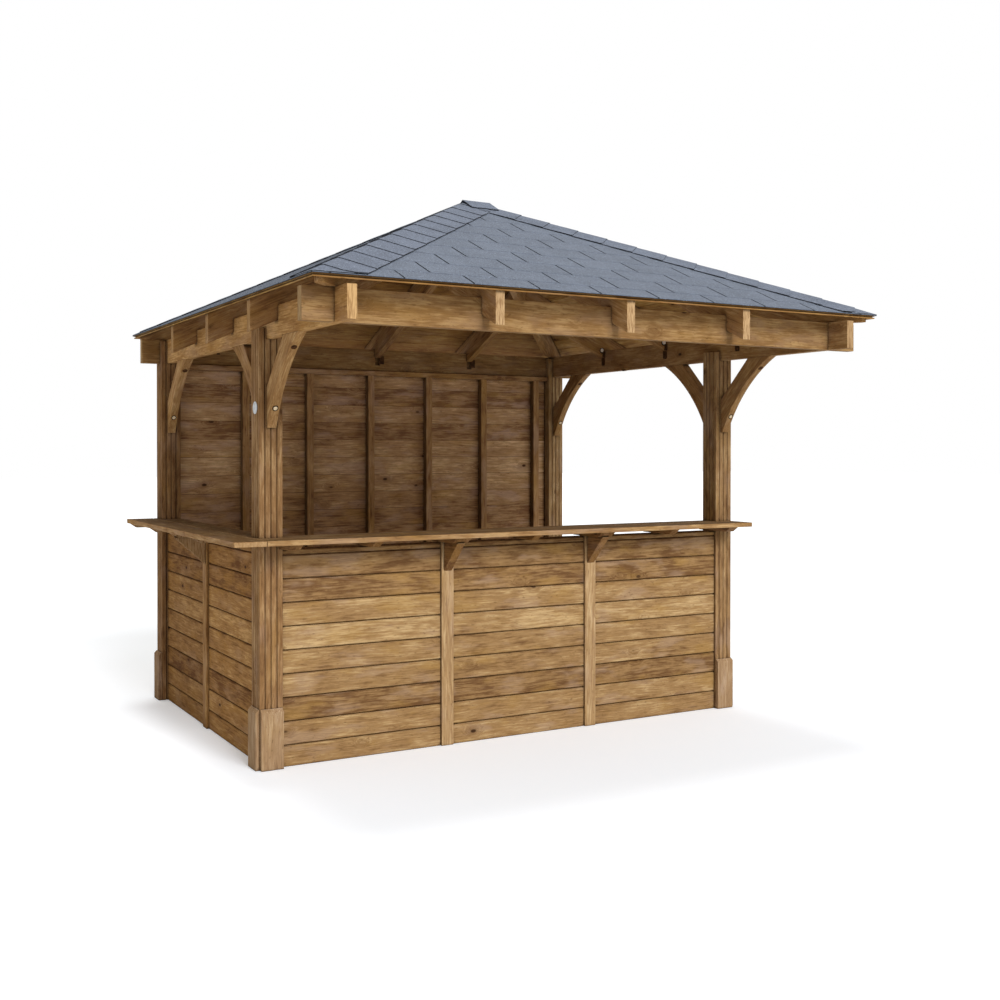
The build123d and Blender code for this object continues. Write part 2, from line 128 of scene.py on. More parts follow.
# meshes
class Pile:
    """Gathers closed boards and plates into one mesh."""

    def __init__(self):
        self.verts = []
        self.faces = []
        self.slots = []

    def rings(self, rings, slot=0, rim=None):
        """Closed body through rings with the same number of points, capped at both ends. rim
        lists the material slots of the sides between the rings."""
        first = len(self.verts)
        count = len(rings[0])
        for ring in rings:
            self.verts.extend(tuple(p) for p in ring)
        for row in range(len(rings) - 1):
            a = first + row * count
            b = a + count
            for i in range(count):
                j = (i + 1) % count
                self.faces.append((a + i, a + j, b + j, b + i))
                self.slots.append(rim[i] if rim else slot)
        self.faces.append(tuple(range(first + count - 1, first - 1, -1)))
        last = first + (len(rings) - 1) * count
        self.faces.append(tuple(range(last, last + count)))
        self.slots += [slot, slot]

    def grid(self, top, bottom, slot=0, rim=0):
        """Closed sheet between two grids of points, rows of equal length."""
        rows, cols = len(top), len(top[0])
        first = len(self.verts)
        for sheet in (top, bottom):
            for row in sheet:
                self.verts.extend(tuple(p) for p in row)
        low = first + rows * cols

        def quad(*corners, index=slot):
            self.faces.append(corners)
            self.slots.append(index)

        for r in range(rows - 1):
            for c in range(cols - 1):
                i = r * cols + c
                quad(first + i, first + i + 1, first + i + cols + 1, first + i + cols)
                quad(low + i, low + i + cols, low + i + cols + 1, low + i + 1)
        edge = [(0, c) for c in range(cols)]
        edge += [(r, cols - 1) for r in range(1, rows)]
        edge += [(rows - 1, c) for c in range(cols - 2, -1, -1)]
        edge += [(r, 0) for r in range(rows - 2, 0, -1)]
        for (r0, c0), (r1, c1) in zip(edge, edge[1:] + edge[:1]):
            i, j = r0 * cols + c0, r1 * cols + c1
            quad(first + j, first + i, low + i, low + j, index=rim)

    def build(self, name, materials, replaced=(), bevel=0.0):
        """One object on the root body, shown in place of the replaced nodes."""
        mesh = bpy.data.meshes.new(name)
        mesh.from_pydata(self.verts, [], self.faces)
        for material in materials:
            mesh.materials.append(material)
        mesh.polygons.foreach_set("material_index", self.slots)
        mesh.validate()
        mesh.update()
        fix_normals(mesh)
        obj = bpy.data.objects.new(name, mesh)
        bpy.context.scene.collection.objects.link(obj)
        if bevel:
            soften(obj, bevel)
        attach(obj, "root")
        if replaced:
            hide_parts(*replaced)
        return obj


def fix_normals(mesh):
    """Turns all faces outward."""
    bm = bmesh.new()
    bm.from_mesh(mesh)
    bmesh.ops.recalc_face_normals(bm, faces=bm.faces)
    bm.to_mesh(mesh)
    bm.free()


def soften(obj, width):
    """Chamfers the arrises a little."""
    cut = obj.modifiers.new("arris", "BEVEL")
    cut.width = width
    cut.segments = 1
    cut.limit_method = "ANGLE"
    cut.angle_limit = math.radians(35)
    cut.use_clamp_overlap = True


# node trees
class Tree:
    """Short way to write a material's nodes."""

    def __init__(self, name):
        self.material = bpy.data.materials.new(name)
        self.material.use_nodes = True
        self.nodes = self.material.node_tree.nodes
        self.links = self.material.node_tree.links
        self.nodes.clear()

    def feed(self, socket, value):
        """Links a socket to an output, or sets it to a plain value."""
        if isinstance(value, bpy.types.NodeSocket):
            self.links.new(value, socket)
        else:
            socket.default_value = value

    def add(self, kind, inputs=None, **props):
        node = self.nodes.new("ShaderNode" + kind)
        for key, value in props.items():
            setattr(node, key, value)
        for key, value in (inputs or {}).items():
            self.feed(node.inputs[key], value)
        return node

    def place(self):
        """Object coordinates, which are the shared frame's metres."""
        return self.add("TexCoord").outputs["Object"]

    def math(self, operation, a, b=0.0):
        return self.add("Math", {0: a, 1: b}, operation=operation).outputs[0]

    def times(self, a, b):
        return self.math("MULTIPLY", a, b)

    def total(self, first, *others):
        for other in others:
            first = self.math("ADD", first, other)
        return first

    def vector(self, operation, a, b=(0, 0, 0)):
        return self.add("VectorMath", {0: a, 1: b}, operation=operation).outputs[0]

    def noise(self, place, scale, detail=2.0, rough=.5):
        node = self.add("TexNoise", {"Vector": place, "Scale": scale, "Detail": detail,
                                     "Roughness": rough})
        return node.outputs["Fac"]

    def drawn_out(self, place, scales, detail, rough):
        """Noise with its own scale along the grain (first) and across it."""
        return self.noise(self.vector("MULTIPLY", place, scales), 1.0, detail, rough)

    def ramp(self, value, low, high, out_low=0.0, out_high=1.0):
        node = self.add("MapRange", {"Value": value, "From Min": low, "From Max": high,
                                     "To Min": out_low, "To Max": out_high})
        node.interpolation_type = "SMOOTHSTEP"
        return node.outputs[0]

    def mix(self, factor, a, b, blend="MIX"):
        node = self.add("Mix", data_type="RGBA", blend_type=blend)
        for index, value in ((0, factor), (6, a), (7, b)):
            self.feed(node.inputs[index], value)
        return node.outputs[2]

    def tinted(self, color, shade):
        return self.mix(1.0, color, (*shade, 1), "MULTIPLY")

    def finish(self, color, bump, rough=.7, specular=.3, metallic=0.0, height=.001):
        shader = self.add("BsdfPrincipled", {"Roughness": rough, "Specular IOR Level": specular,
                                             "Metallic": metallic, "Base Color": color})
        bumped = self.add("Bump", {"Height": bump, "Strength": 1.0, "Distance": height})
        self.links.new(bumped.outputs[0], shader.inputs["Normal"])
        self.add("OutputMaterial", {0: shader.outputs[0]})
        return self.material


def rgb(*value):
    """sRGB 0-255 to the linear colour that nodes take."""
    def one(v):
        v /= 255
        return v / 12.92 if v <= .04045 else ((v + .055) / 1.055) ** 2.4
    return tuple(one(v) for v in value) + (1,)


# wood
DARK_GRAIN, GRAIN, PALE_GRAIN = rgb(104, 70, 40), rgb(151, 113, 70), rgb(190, 153, 104)
GREY_PATCH, AMBER_PATCH = rgb(164, 131, 101), rgb(160, 118, 56)
KNOT_HALO, KNOT = rgb(98, 62, 31), rgb(60, 38, 21)
FIBRE, FLECK = rgb(76, 48, 25), rgb(84, 54, 30)
END_RING, LIT_END_GRAIN = rgb(140, 108, 72), rgb(190, 157, 114)
FLUTE_SHADE, CORNER_SHADE = rgb(66, 42, 22), rgb(38, 24, 14)
PATTERN_SHIFT = 41.0  # metres between the patterns of two pieces, at most
SWAY, KNOT_SWING = .05, .030
SHADE_REACH, SHADE_SAMPLES = .024, 4


def grain_turn(direction):
    """Euler angles of the frame whose X runs along the grain."""
    x = Vector(direction).normalized()
    helper = Vector((0, 0, 1)) if abs(x.z) < .9 else Vector((0, 1, 0))
    y = helper.cross(x).normalized()
    z = x.cross(y)
    return Matrix((x, y, z)).to_euler()


def flute_depth(t):
    """0 on the outer faces of the corner posts, 1 at the bottom of their flutes: the mask of the
    flutes' painted shade.
    """
    spot = t.add("SeparateXYZ", {0: t.place()}).outputs
    across = t.math("ABSOLUTE", t.math("SUBTRACT", spot[0], MIDDLE))
    across = t.math("ABSOLUTE", t.math("SUBTRACT", across, BRACE_X))
    rear = t.math("GREATER_THAN", spot[1], 0.0)
    centre = t.total(FRONT_FACE + POST / 2, t.times(rear, BACK_FACE - FRONT_FACE))
    along = t.math("ABSOLUTE", t.math("SUBTRACT", spot[1], centre))
    inside = t.math("SUBTRACT", POST / 2, t.math("MAXIMUM", across, along))
    return t.ramp(inside, .0006, .0045)


def wood(name, direction, shade=(1, 1, 1), folded=False, knots=1.0, spread=.16, patch=1.0,
         ends=.9, loose=False, shaded_flutes=False, top=1.0, flank_shade=1.0):
    """Weathered, brown-treated softwood. Colour changes from piece to piece, in long streaks, in
    patches and round knots; ends across the grain are paler, partly their own tone and partly a
    painted highlight, and tight corners are darkened as painted shade.
    folded: the grain follows the hips, which are mirrored about both axes. knots, patch, ends:
    strength of each. spread: how much pieces differ. loose: many boards in one mesh.
    shade: colour factors of this copy, partly the wood's own tone and partly painted light and
    shade. shaded_flutes: flutes darkened as painted shade. top: brightness of faces that look
    up, lowered as painted shade. flank_shade: brightness of faces that look along x, lowered
    as painted shade."""
    t = Tree(name)
    place = t.place()
    normal = t.add("NewGeometry").outputs["True Normal"]
    if folded:
        centred = t.vector("SUBTRACT", place, (MIDDLE, 0, 0))
        place = t.vector("ABSOLUTE", centred)
        normal = t.vector("MULTIPLY", normal, t.vector("DIVIDE", place, centred))
    place = t.add("Mapping", {"Vector": place, "Rotation": grain_turn(direction)}).outputs[0]
    if loose:
        piece = t.add("NewGeometry").outputs["Random Per Island"]
    else:
        piece = t.add("ObjectInfo").outputs["Random"]
    shift = t.add("CombineXYZ", {0: piece, 1: piece, 2: piece}).outputs[0]
    shift = t.add("VectorMath", {0: shift, "Scale": PATTERN_SHIFT}, operation="SCALE").outputs[0]
    place = t.vector("ADD", place, shift)
    sway = t.add("TexNoise", {"Vector": t.vector("MULTIPLY", place, (1.1, 5, 5)),
                              "Scale": 1.0, "Detail": 1.0}).outputs["Color"]
    sway = t.vector("MULTIPLY", t.vector("SUBTRACT", sway, (.5, .5, .5)), (0, SWAY, SWAY))
    bent = t.vector("ADD", place, sway)

    # knots in some cells; the grain swings round them
    cells = t.add("TexVoronoi", {"Vector": t.vector("MULTIPLY", place, (4.6, 8.6, 8.6)),
                                 "Scale": 1.0, "Randomness": 1.0})
    chosen = t.add("SeparateColor", {0: cells.outputs["Color"]}).outputs[0]
    chosen = t.ramp(chosen, .52, .60)
    halo = t.times(t.ramp(cells.outputs["Distance"], .06, .36, 1.0, 0.0), chosen)
    core = t.times(t.ramp(cells.outputs["Distance"], .05, .10, knots, 0.0), chosen)
    swing = t.times(halo, KNOT_SWING)
    swung = t.vector("ADD", bent, t.add("CombineXYZ", {1: swing, 2: swing}).outputs[0])

    # patterns along the grain
    streak = t.drawn_out(swung, (6.2, 104, 104), 5.0, .64)
    broad = t.drawn_out(swung, (1.0, 17, 17), 2.0, .5)
    fibre = t.drawn_out(swung, (13, 330, 330), 3.0, .6)
    fleck = t.drawn_out(swung, (34, 105, 105), 2.0, .6)
    cloud = t.drawn_out(place, (5.6, 17, 17), 5.0, .66)
    tint = t.noise(t.vector("ADD", t.vector("MULTIPLY", place, (3.6, 11, 11)), (7, 3, 5)),
                   1.0, 3.0, .55)
    rings = t.math("SINE", t.times(t.total(broad, t.times(streak, .25)), 70.0))

    tone = t.total(t.times(streak, .46), t.times(cloud, .54 * patch), .27 * (1 - patch),
                   t.times(rings, .030), t.times(t.math("SUBTRACT", piece, .5), spread))
    color = t.mix(t.ramp(tone, .32, .52), DARK_GRAIN, GRAIN)
    color = t.mix(t.ramp(tone, .50, .70), color, PALE_GRAIN)
    color = t.mix(t.ramp(tint, .53, .68, 0.0, .46 * patch), color, GREY_PATCH)
    color = t.mix(t.ramp(tint, .48, .30, 0.0, .38 * patch), color, AMBER_PATCH)
    color = t.mix(t.times(halo, .40 * knots), color, KNOT_HALO)
    color = t.mix(core, color, KNOT)
    color = t.mix(t.ramp(fibre, .34, .62, .22, 0.0), color, FIBRE)
    color = t.mix(t.ramp(fleck, .62, .72, 0.0, .42), color, FLECK)

    # across the grain: paler, partly the wood's own end tone and partly a painted highlight, with
    # fine rings
    along = t.add("VectorMath", {0: normal, 1: Vector(direction).normalized()},
                  operation="DOT_PRODUCT").outputs["Value"]
    end = t.ramp(t.math("ABSOLUTE", along), .70, .86, 0.0, ends)
    yearly = t.drawn_out(place, (40, 170, 16), 3.0, .6)
    color = t.mix(end, color, t.mix(t.ramp(yearly, .34, .60), END_RING, LIT_END_GRAIN))

    # painted shade: in the flutes, on faces that look up or along x, and in tight corners
    if shaded_flutes:
        # flutes darkened: painted shade
        color = t.mix(t.times(flute_depth(t), .62), color, FLUTE_SHADE)
    facing = t.add("SeparateXYZ", {0: normal}).outputs
    # faces that look up darkened: painted shade
    if top < 1:
        color = t.mix(t.ramp(facing[2], .80, .95), color, t.tinted(color, [top] * 3))
    # faces that look along x darkened: painted shade
    if flank_shade < 1:
        aside = t.ramp(t.math("ABSOLUTE", facing[0]), .80, .95)
        color = t.mix(aside, color, t.tinted(color, [flank_shade] * 3))
    # the copy's shade factors: partly its own tone, partly painted light and shade
    color = t.tinted(color, shade)
    # tight corners and creases darkened by ambient occlusion: painted shade
    corner = t.add("AmbientOcclusion", {"Distance": SHADE_REACH}, samples=SHADE_SAMPLES)
    color = t.mix(t.ramp(corner.outputs["AO"], .40, .82, .72, 0.0), color, CORNER_SHADE)
    bump = t.total(t.times(fibre, .35), t.times(streak, .65))
    rough = t.ramp(tone, .3, .7, .86, .72)
    return t.finish(color, bump, rough, .08, height=.0012)


def dark_wood(name, low, high):
    """Wood in the shade of a joint or a bore."""
    t = Tree(name)
    place = t.place()
    color = t.mix(t.ramp(t.noise(place, 70.0), .3, .7), low, high)
    return t.finish(color, t.noise(place, 300.0, 1.0), .9, .05, height=.0003)


# Each copy's shade factors are partly the wood's own tone and partly painted light and shade:
# copies whose faces meet the key light are brighter and bluer, copies on shaded or sideways faces
# darker and warmer, and the pieces inside the back wall brighter.
wood_x = wood("beam_wood_x", (1, 0, 0), (.76, .75, .70))
wood_y = wood("beam_wood_y", (0, 1, 0), (.84, .82, .80))
wood_left = wood("left_beam_wood", (0, 1, 0), (1.10, 1.05, .92))
post_left = wood("left_post_wood", (0, 0, 1), (.82, .82, .87), knots=.6, shaded_flutes=True)
post_right = wood("right_post_wood", (0, 0, 1), (1.00, 1.09, 1.24), knots=.6, shaded_flutes=True)
trim_wood = wood("trim_wood_z", (0, 0, 1), (1.22, 1.40, 1.70), knots=.6, spread=.08, patch=.5)
side_trim = wood("side_trim_wood_z", (0, 0, 1), (.96, .92, .80), knots=.5, spread=.08)
rail_wood = wood("rail_wood_x", (1, 0, 0), (1.22, 1.26, 1.36), knots=.5)
plinth_wood = wood("plinth_wood_z", (0, 0, 1), (1.07, 1.24, 1.70), knots=.5, patch=.5)
stud_wood = wood("stud_wood_z", (0, 0, 1), (1.24, 1.27, 1.38), knots=.5, flank_shade=.42)
counter_x = wood("counter_wood_x", (1, 0, 0), (.98, 1.02, 1.08), top=.55)
counter_y = wood("counter_wood_y", (0, 1, 0), (1.00, 1.03, 1.08), ends=.3, top=.50)
wall_x = wood("wall_boards_x", (1, 0, 0), (1.04, 1.14, 1.24), spread=.17, loose=True)
wall_y = wood("wall_boards_y", (0, 1, 0), (1.05, .98, .79), spread=.17, loose=True)
wall_y_rear = wood("wall_boards_y_rear", (0, 1, 0), (.84, .76, .59), spread=.17, loose=True)
back_x = wood("back_boards_x", (1, 0, 0), (1.56, 1.69, 2.13), spread=.20, loose=True)
deck_x = wood("deck_boards_x", (1, 0, 0), (.93, .87, .66), loose=True)
deck_y = wood("deck_boards_y", (0, 1, 0), (1.12, 1.13, .91), loose=True)
rafter_front = wood("rafter_front", (0, SLOPE_C, SLOPE_S))
rafter_back = wood("rafter_back", (0, SLOPE_C, -SLOPE_S))
rafter_left = wood("rafter_left", (SLOPE_C, 0, SLOPE_S), ends=.3)
rafter_right = wood("rafter_right", (SLOPE_C, 0, -SLOPE_S), ends=.3)
rafter_hip = wood("rafter_hip", (1, 1, -HIP_SLOPE * math.sqrt(2)), folded=True)
joint_wood = dark_wood("joint_wood", rgb(70, 46, 26), rgb(98, 67, 40))


# walls
def board_profile(low, high, groove_low, groove_high):
    """Depth and height of one board's outline, and the material slot of each side: 1 in the
    joints. A joint is left out below the bottom board, and the top board shows its tongue."""
    if groove_low:
        points = [(0, low + JOINT_GAP + CHAMFER), (CHAMFER_DEPTH, low + JOINT_GAP),
                  (TONGUE_DEPTH, low + JOINT_GAP), (TONGUE_DEPTH, low)]
        slots = [0, 1, 1, 1]
    else:
        points = [(0, low + ARRIS), (ARRIS, low)]
        slots = [0, 1]
    inner = BOARD_THICK - INNER_ARRIS
    points += [(inner, low), (BOARD_THICK, low + INNER_ARRIS), (BOARD_THICK, high - INNER_ARRIS),
               (inner, high)]
    slots += [1, 0, 1, 1]
    step = high - (JOINT_GAP if groove_high else TONGUE)
    points += [(TONGUE_DEPTH, high), (TONGUE_DEPTH, step), (CHAMFER_DEPTH, step),
               (0, step - CHAMFER)]
    return points, slots + [1, 1, 0, 0]


def clad(name, node, outward, material):
    """Horizontal boards over one panel, whose outer face looks to the side named by outward."""
    low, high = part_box(node)

    def spot(end, depth, height):
        if outward == "left":
            return low.x + depth, (low.y + END_GAP, high.y - END_GAP)[end], height
        y = low.y + depth if outward == "front" else high.y - depth
        return (low.x + END_GAP, high.x - END_GAP)[end], y, height

    courses = []
    z = low.z
    while high.z - z > LEAST_BOARD:
        top = min(z + (WALL_BOARD if courses else FIRST_BOARD), high.z)
        if high.z - top < LEAST_BOARD:
            top = high.z
        courses.append((z, top))
        z = top
    pile = Pile()
    for index, (z0, z1) in enumerate(courses):
        sunk = rng.uniform(0, SUNK)
        outline, rim = board_profile(z0, z1, index > 0, index < len(courses) - 1)
        pile.rings([[spot(end, min(depth + sunk, BOARD_THICK), height)
                     for depth, height in outline] for end in (0, 1)], 1, rim)
    return pile.build(name, [material, joint_wood], [node])


for bay in ("left", "middle", "right"):
    clad(f"front_wall_boards_{bay}", f"front_panel_{bay}", "front", wall_x)
for bay, side_wood in (("front", wall_y), ("back", wall_y_rear)):
    clad(f"side_wall_boards_{bay}", f"side_panel_{bay}", "left", side_wood)
clad("back_wall_cladding", "back_wall_boards", "back", back_x)


# roof
def slope_frame(side):
    """(place, half length at the eave) of a slope. place(u, p, z) takes the distance along the
    eave from its middle, the plan distance in from the eave, and the height."""
    if side == "front":
        return (lambda u, p, z: (MIDDLE + u, -ROOF_Y + p, z)), ROOF_X
    if side == "back":
        return (lambda u, p, z: (MIDDLE - u, ROOF_Y - p, z)), ROOF_X
    if side == "left":
        return (lambda u, p, z: (MIDDLE - ROOF_X + p, -u, z)), ROOF_Y
    return (lambda u, p, z: (MIDDLE + ROOF_X - p, u, z)), ROOF_Y


def on_slope(v, w):
    """(plan distance, height) of a point v up the slope and w above the deck's underside."""
    return v * SLOPE_C - w * SLOPE_S, EAVE_Z + v * SLOPE_S + w * SLOPE_C


def roof_boards(side, material):
    """Tongued boards, V-jointed below, mitred at the hips; the eave shows a grooved edge."""
    place, half = slope_frame(side)
    length = ROOF_Y / SLOPE_C
    pile = Pile()
    edge_top = EAVE_Z + DECK / SLOPE_C
    groove = (EAVE_Z + edge_top) / 2
    ridge = ROOF_Y - RIDGE_JOINT
    v = 0.0
    while length - v > LEAST_DECK_BOARD:
        top = v + DECK_BOARD
        if length - top < LEAST_DECK_BOARD:
            top = length
        if v == 0.0:
            outline = [(0, EAVE_Z + EAVE_LIFT), on_slope(top - VEE, 0), on_slope(top, VEE),
                       on_slope(top, DECK), (0, edge_top), (0, groove + EAVE_GROOVE_HALF),
                       (EAVE_GROOVE, groove + EAVE_GROOVE_HALF),
                       (EAVE_GROOVE, groove - EAVE_GROOVE_HALF), (0, groove - EAVE_GROOVE_HALF)]
        else:
            outline = [on_slope(v + VEE, 0)]
            if top < length:
                outline += [on_slope(top - VEE, 0), on_slope(top, VEE), on_slope(top, DECK)]
            else:
                outline += [(ridge, EAVE_Z + ridge * SLOPE_T), (ridge, edge_top + ridge * SLOPE_T)]
            outline += [on_slope(v, DECK), on_slope(v, VEE)]
        pile.rings([[place(sign * max(half - p - MITRE_GAP, LEAST_HALF), p, z) for p, z in outline]
                    for sign in (-1, 1)])
        v = top
    return pile.build(f"roof_decking_{side}", [material], [f"roof_boards_{side}"])


for side in SIDES:
    roof_boards(side, deck_x if side in ("front", "back") else deck_y)


def shingle_material(name, low, high, spread=.10):
    """Mineral granules on bitumen: speckled, a little patchy, each tab slightly different."""
    t = Tree(name)
    place = t.place()
    piece = t.add("NewGeometry").outputs["Random Per Island"]
    grains = t.add("TexVoronoi", {"Vector": place, "Scale": 230.0}).outputs["Color"]
    grains = t.add("SeparateColor", {0: grains}).outputs[0]
    fine = t.noise(place, 700.0, 1.0)
    patch = t.noise(place, 7.0, 3.0, .6)
    tone = t.total(t.times(grains, .30), t.times(fine, .34), t.times(patch, .32),
                   t.times(piece, spread))
    color = t.mix(t.ramp(tone, .22, .76), low, high)
    color = t.mix(t.ramp(grains, .94, .98, 0.0, .28), color, rgb(176, 184, 194))
    return t.finish(color, t.total(grains, fine), .78, .5, height=.0008)


shingle_face = shingle_material("shingle_granules", rgb(83, 90, 101), rgb(114, 123, 137), .03)
# near-black painted shade for the slits, the plates' cut sides and the caps' edges and undersides
shingle_shade = shingle_material("shingle_slit_shade", rgb(18, 20, 25), rgb(34, 38, 46))
cap_face = shingle_material("cap_granules", rgb(78, 85, 97), rgb(122, 131, 147), 0.0)


def clip(polygon, a, b, c):
    """Keeps the part of a (u, v) polygon where a*u + b*v <= c."""
    kept = []
    for (u0, v0), (u1, v1) in zip(polygon, polygon[1:] + polygon[:1]):
        d0, d1 = a * u0 + b * v0 - c, a * u1 + b * v1 - c
        if d0 <= 0:
            kept.append((u0, v0))
        if (d0 < 0 < d1) or (d1 < 0 < d0):
            s = d0 / (d0 - d1)
            kept.append((u0 + (u1 - u0) * s, v0 + (v1 - v0) * s))
    return kept


def plate(pile, place, half, polygon, top, bottom, slot=0):
    """Shingle plate over a (u, v) outline, cut at the hips and ridge. top and bottom give the
    height above the deck's top at v."""
    for a in (1, -1):
        polygon = clip(polygon, a, SLOPE_C, half - HIP_GAP)
    polygon = clip(polygon, 0, SLOPE_C, ROOF_Y - RIDGE_GAP)
    if len(polygon) < 3:
        return
    sides = list(zip(polygon, polygon[1:] + polygon[:1]))
    if abs(sum(u0 * v1 - u1 * v0 for (u0, v0), (u1, v1) in sides) / 2) < LEAST_PLATE:
        return
    rings = []
    for height in (bottom, top):
        rings.append([place(u, v * SLOPE_C,
                            EAVE_Z + v * SLOPE_C * SLOPE_T + (DECK + height(v)) / SLOPE_C)
                      for u, v in polygon])
    # sides running up the slope, at slits and hip cuts, take slot 1: painted shade
    rim = [slot if abs(u1 - u0) > abs(v1 - v0) * .5 else 1 for (u0, v0), (u1, v1) in sides]
    pile.rings(rings, slot, rim)


def shingle_slope(side):
    """Courses of shingle tabs. Each course lies on a strip in near-black painted shade, which
    shows in its slits.
    """
    place, half = slope_frame(side)
    pile = Pile()
    eave = -LIP / SLOPE_C
    length = ROOF_Y / SLOPE_C
    wide = half + OVERHANG
    course = 0
    low = FIRST_LINE - COURSE
    while low < length:
        high = low + COURSE
        start = max(low, eave)

        def face(v, low=low):
            return TAB_HEIGHT - TAPER * (v - low) / COURSE

        def strip(v, low=low):
            return max(LAP_HEIGHT - TAPER * (v - low) / COURSE, LEAST_STRIP_HEIGHT)

        upper = high + STRIP_LAP
        plate(pile, place, half, [(-wide, start), (wide, start), (wide, upper), (-wide, upper)],
              strip, lambda v: 0.0, 1)
        shift = (FIRST_SLIT + STAGGER * course) % TAB
        u = -wide - TAB + (shift + wide) % TAB
        while u < wide:
            left, right = u + SLIT / 2, u + TAB - SLIT / 2
            shifted = start + rng.uniform(-BUTT_SHIFT, BUTT_SHIFT)
            butt = [(left + (right - left) * i / BUTT_STEPS,
                     shifted + rng.uniform(-BUTT_WAVE, BUTT_WAVE)) for i in range(BUTT_STEPS + 1)]
            if start == eave:
                butt = [(p[0], eave) for p in butt]
            outline = butt + [(right, high + TAB_LAP), (left, high + TAB_LAP)]
            lift = rng.uniform(0, TAB_LIFT)
            plate(pile, place, half, outline, lambda v, lift=lift: face(v) + lift,
                  lambda v, lift=lift: max(face(v) + lift - PLY, LEAST_TAB_HEIGHT))
            u += TAB
        low = high
        course += 1
    return pile.build(f"shingle_tabs_{side}", [shingle_face, shingle_shade],
                      [f"shingles_{side}"])


for side in SIDES:
    shingle_slope(side)


def roof_height(x, y, soft=HIP_ROUNDING):
    """Height of the deck's underside over a plan point, rounded over hips and ridge."""
    a, b = ROOF_X - abs(x), ROOF_Y - abs(y)
    low, gap = min(a, b), abs(a - b)
    low -= max(soft - gap, 0) ** 2 / (4 * soft) if gap < soft else 0
    return EAVE_Z + low * SLOPE_T


def hip_tabs(pile, sx, sy):
    """Shingle tabs bent over one hip, lapped down from the ridge. sx and sy are its signs."""
    base = (DECK + SHINGLES) / SLOPE_C
    total = (ROOF_Y + LIP) * math.sqrt(2)
    butts = [CAP_FIRST / HIP_STRETCH + CAP_STEP / HIP_STRETCH * k for k in range(MOST_CAPS)]
    butts = [b for b in butts if b < total - LEAST_LAST_CAP] + [total]
    for index, butt in enumerate(butts):
        last = index == len(butts) - 1
        head = (butts[index - 1] if index else 0) - CAP_LAP
        skew = rng.uniform(-CAP_SKEW, CAP_SKEW)
        top, bottom = [], []
        for step in range(CAP_ROWS + 1):
            share = step / CAP_ROWS
            down = butt + (head - butt) * share
            lift = CAP_HEIGHT - CAP_TAPER * share
            if last:
                lift = LAST_CAP_HEIGHT + LAST_CAP_RISE * share
            row = []
            for part in ACROSS_CAP:
                off = part * CAP_HALF
                reach = down + skew * part * (1 - share) + rng.uniform(-CAP_WAVE, CAP_WAVE)
                if last and step == 0:
                    reach = total - abs(off)
                if index >= len(butts) - 2:
                    reach = min(reach, total - abs(off))
                x = sx * (RIDGE + (reach / math.sqrt(2))) + sy * off / math.sqrt(2)
                y = sy * (reach / math.sqrt(2)) - sx * off / math.sqrt(2)
                row.append((MIDDLE + x, y, roof_height(x, y) + base + lift))
            top.append(row)
            bottom.append([(x, y, z - CAP_PLY) for x, y, z in row])
        pile.grid(top, bottom, 0, 1)


def hip_caps():
    """The tabs of the four hips, and the ridge's own bent cap."""
    pile = Pile()
    for sx, sy in ((-1, -1), (1, -1), (-1, 1), (1, 1)):
        hip_tabs(pile, sx, sy)
    crest = EAVE_Z + ROOF_Y * SLOPE_T + (DECK + SHINGLES + CAP) / SLOPE_C
    top, bottom = [], []
    for step in range(2 * CAP_ROWS + 1):
        x = RIDGE_CAP_SHIFT - RIDGE_CAP_HALF + RIDGE_CAP_HALF * step / CAP_ROWS
        row = []
        for part in ACROSS_CAP:
            y = part * RIDGE_CAP_WIDE
            raised = RIDGE_CAP_LIFT * (1 - RIDGE_CAP_FALL * abs(part))
            z = crest - max(abs(y), RIDGE_ROUNDING) * SLOPE_T + raised
            row.append((MIDDLE + x, y, z))
        top.append([(x, y, z + CAP / SLOPE_C) for x, y, z in row])
        bottom.append(row)
    pile.grid(top, bottom, 0, 1)
    return pile.build("hip_and_ridge_cap_tabs", [cap_face, shingle_shade],
                      ["hip_and_ridge_caps"])


hip_caps()


# counter
def counter_boards():
    """Two boards deep on both sides, notched round the posts; the left counter's outer board
    runs to the front edge."""
    low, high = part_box("counter_front")
    left_low, left_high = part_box("counter_left")
    corners = ("front_left", "front_right", "back_left")
    post, far_post, back_post = (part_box(f"post_{n}") for n in corners)
    post_low, post_high = post
    far_post_x, back_post_y = far_post[0].x, back_post[0].y
    half_gap = COUNTER_GAP / 2
    joint = low.x

    def board(pile, outline):
        pile.rings([[(x, y, z) for x, y in outline] for z in (low.z, high.z)])

    pile = Pile()
    start, split = joint + half_gap, low.y + COUNTER_BOARD
    board(pile, [(start, low.y), (high.x, low.y), (high.x, split - COUNTER_GAP),
                 (start, split - COUNTER_GAP)])
    board(pile, [(start, split + COUNTER_GAP), (high.x, split + COUNTER_GAP),
                 (high.x, post_low.y), (far_post_x, post_low.y), (far_post_x, high.y),
                 (post_high.x, high.y), (post_high.x, post_low.y), (post_low.x, post_low.y),
                 (post_low.x, high.y), (start, high.y)])
    pile.build("counter_top_front", [counter_x], ["counter_front"],
               bevel=COUNTER_ARRIS)

    pile = Pile()
    board(pile, [(left_low.x, left_low.y), (joint - half_gap, left_low.y),
                 (joint - half_gap, left_high.y), (left_low.x, left_high.y)])
    board(pile, [(joint + COUNTER_GAP, high.y + half_gap), (post_high.x, high.y + half_gap),
                 (post_high.x, back_post_y), (post_low.x, back_post_y),
                 (post_low.x, left_high.y), (joint + COUNTER_GAP, left_high.y)])
    pile.build("counter_top_left", [counter_y], ["counter_left"],
               bevel=COUNTER_ARRIS)


counter_boards()


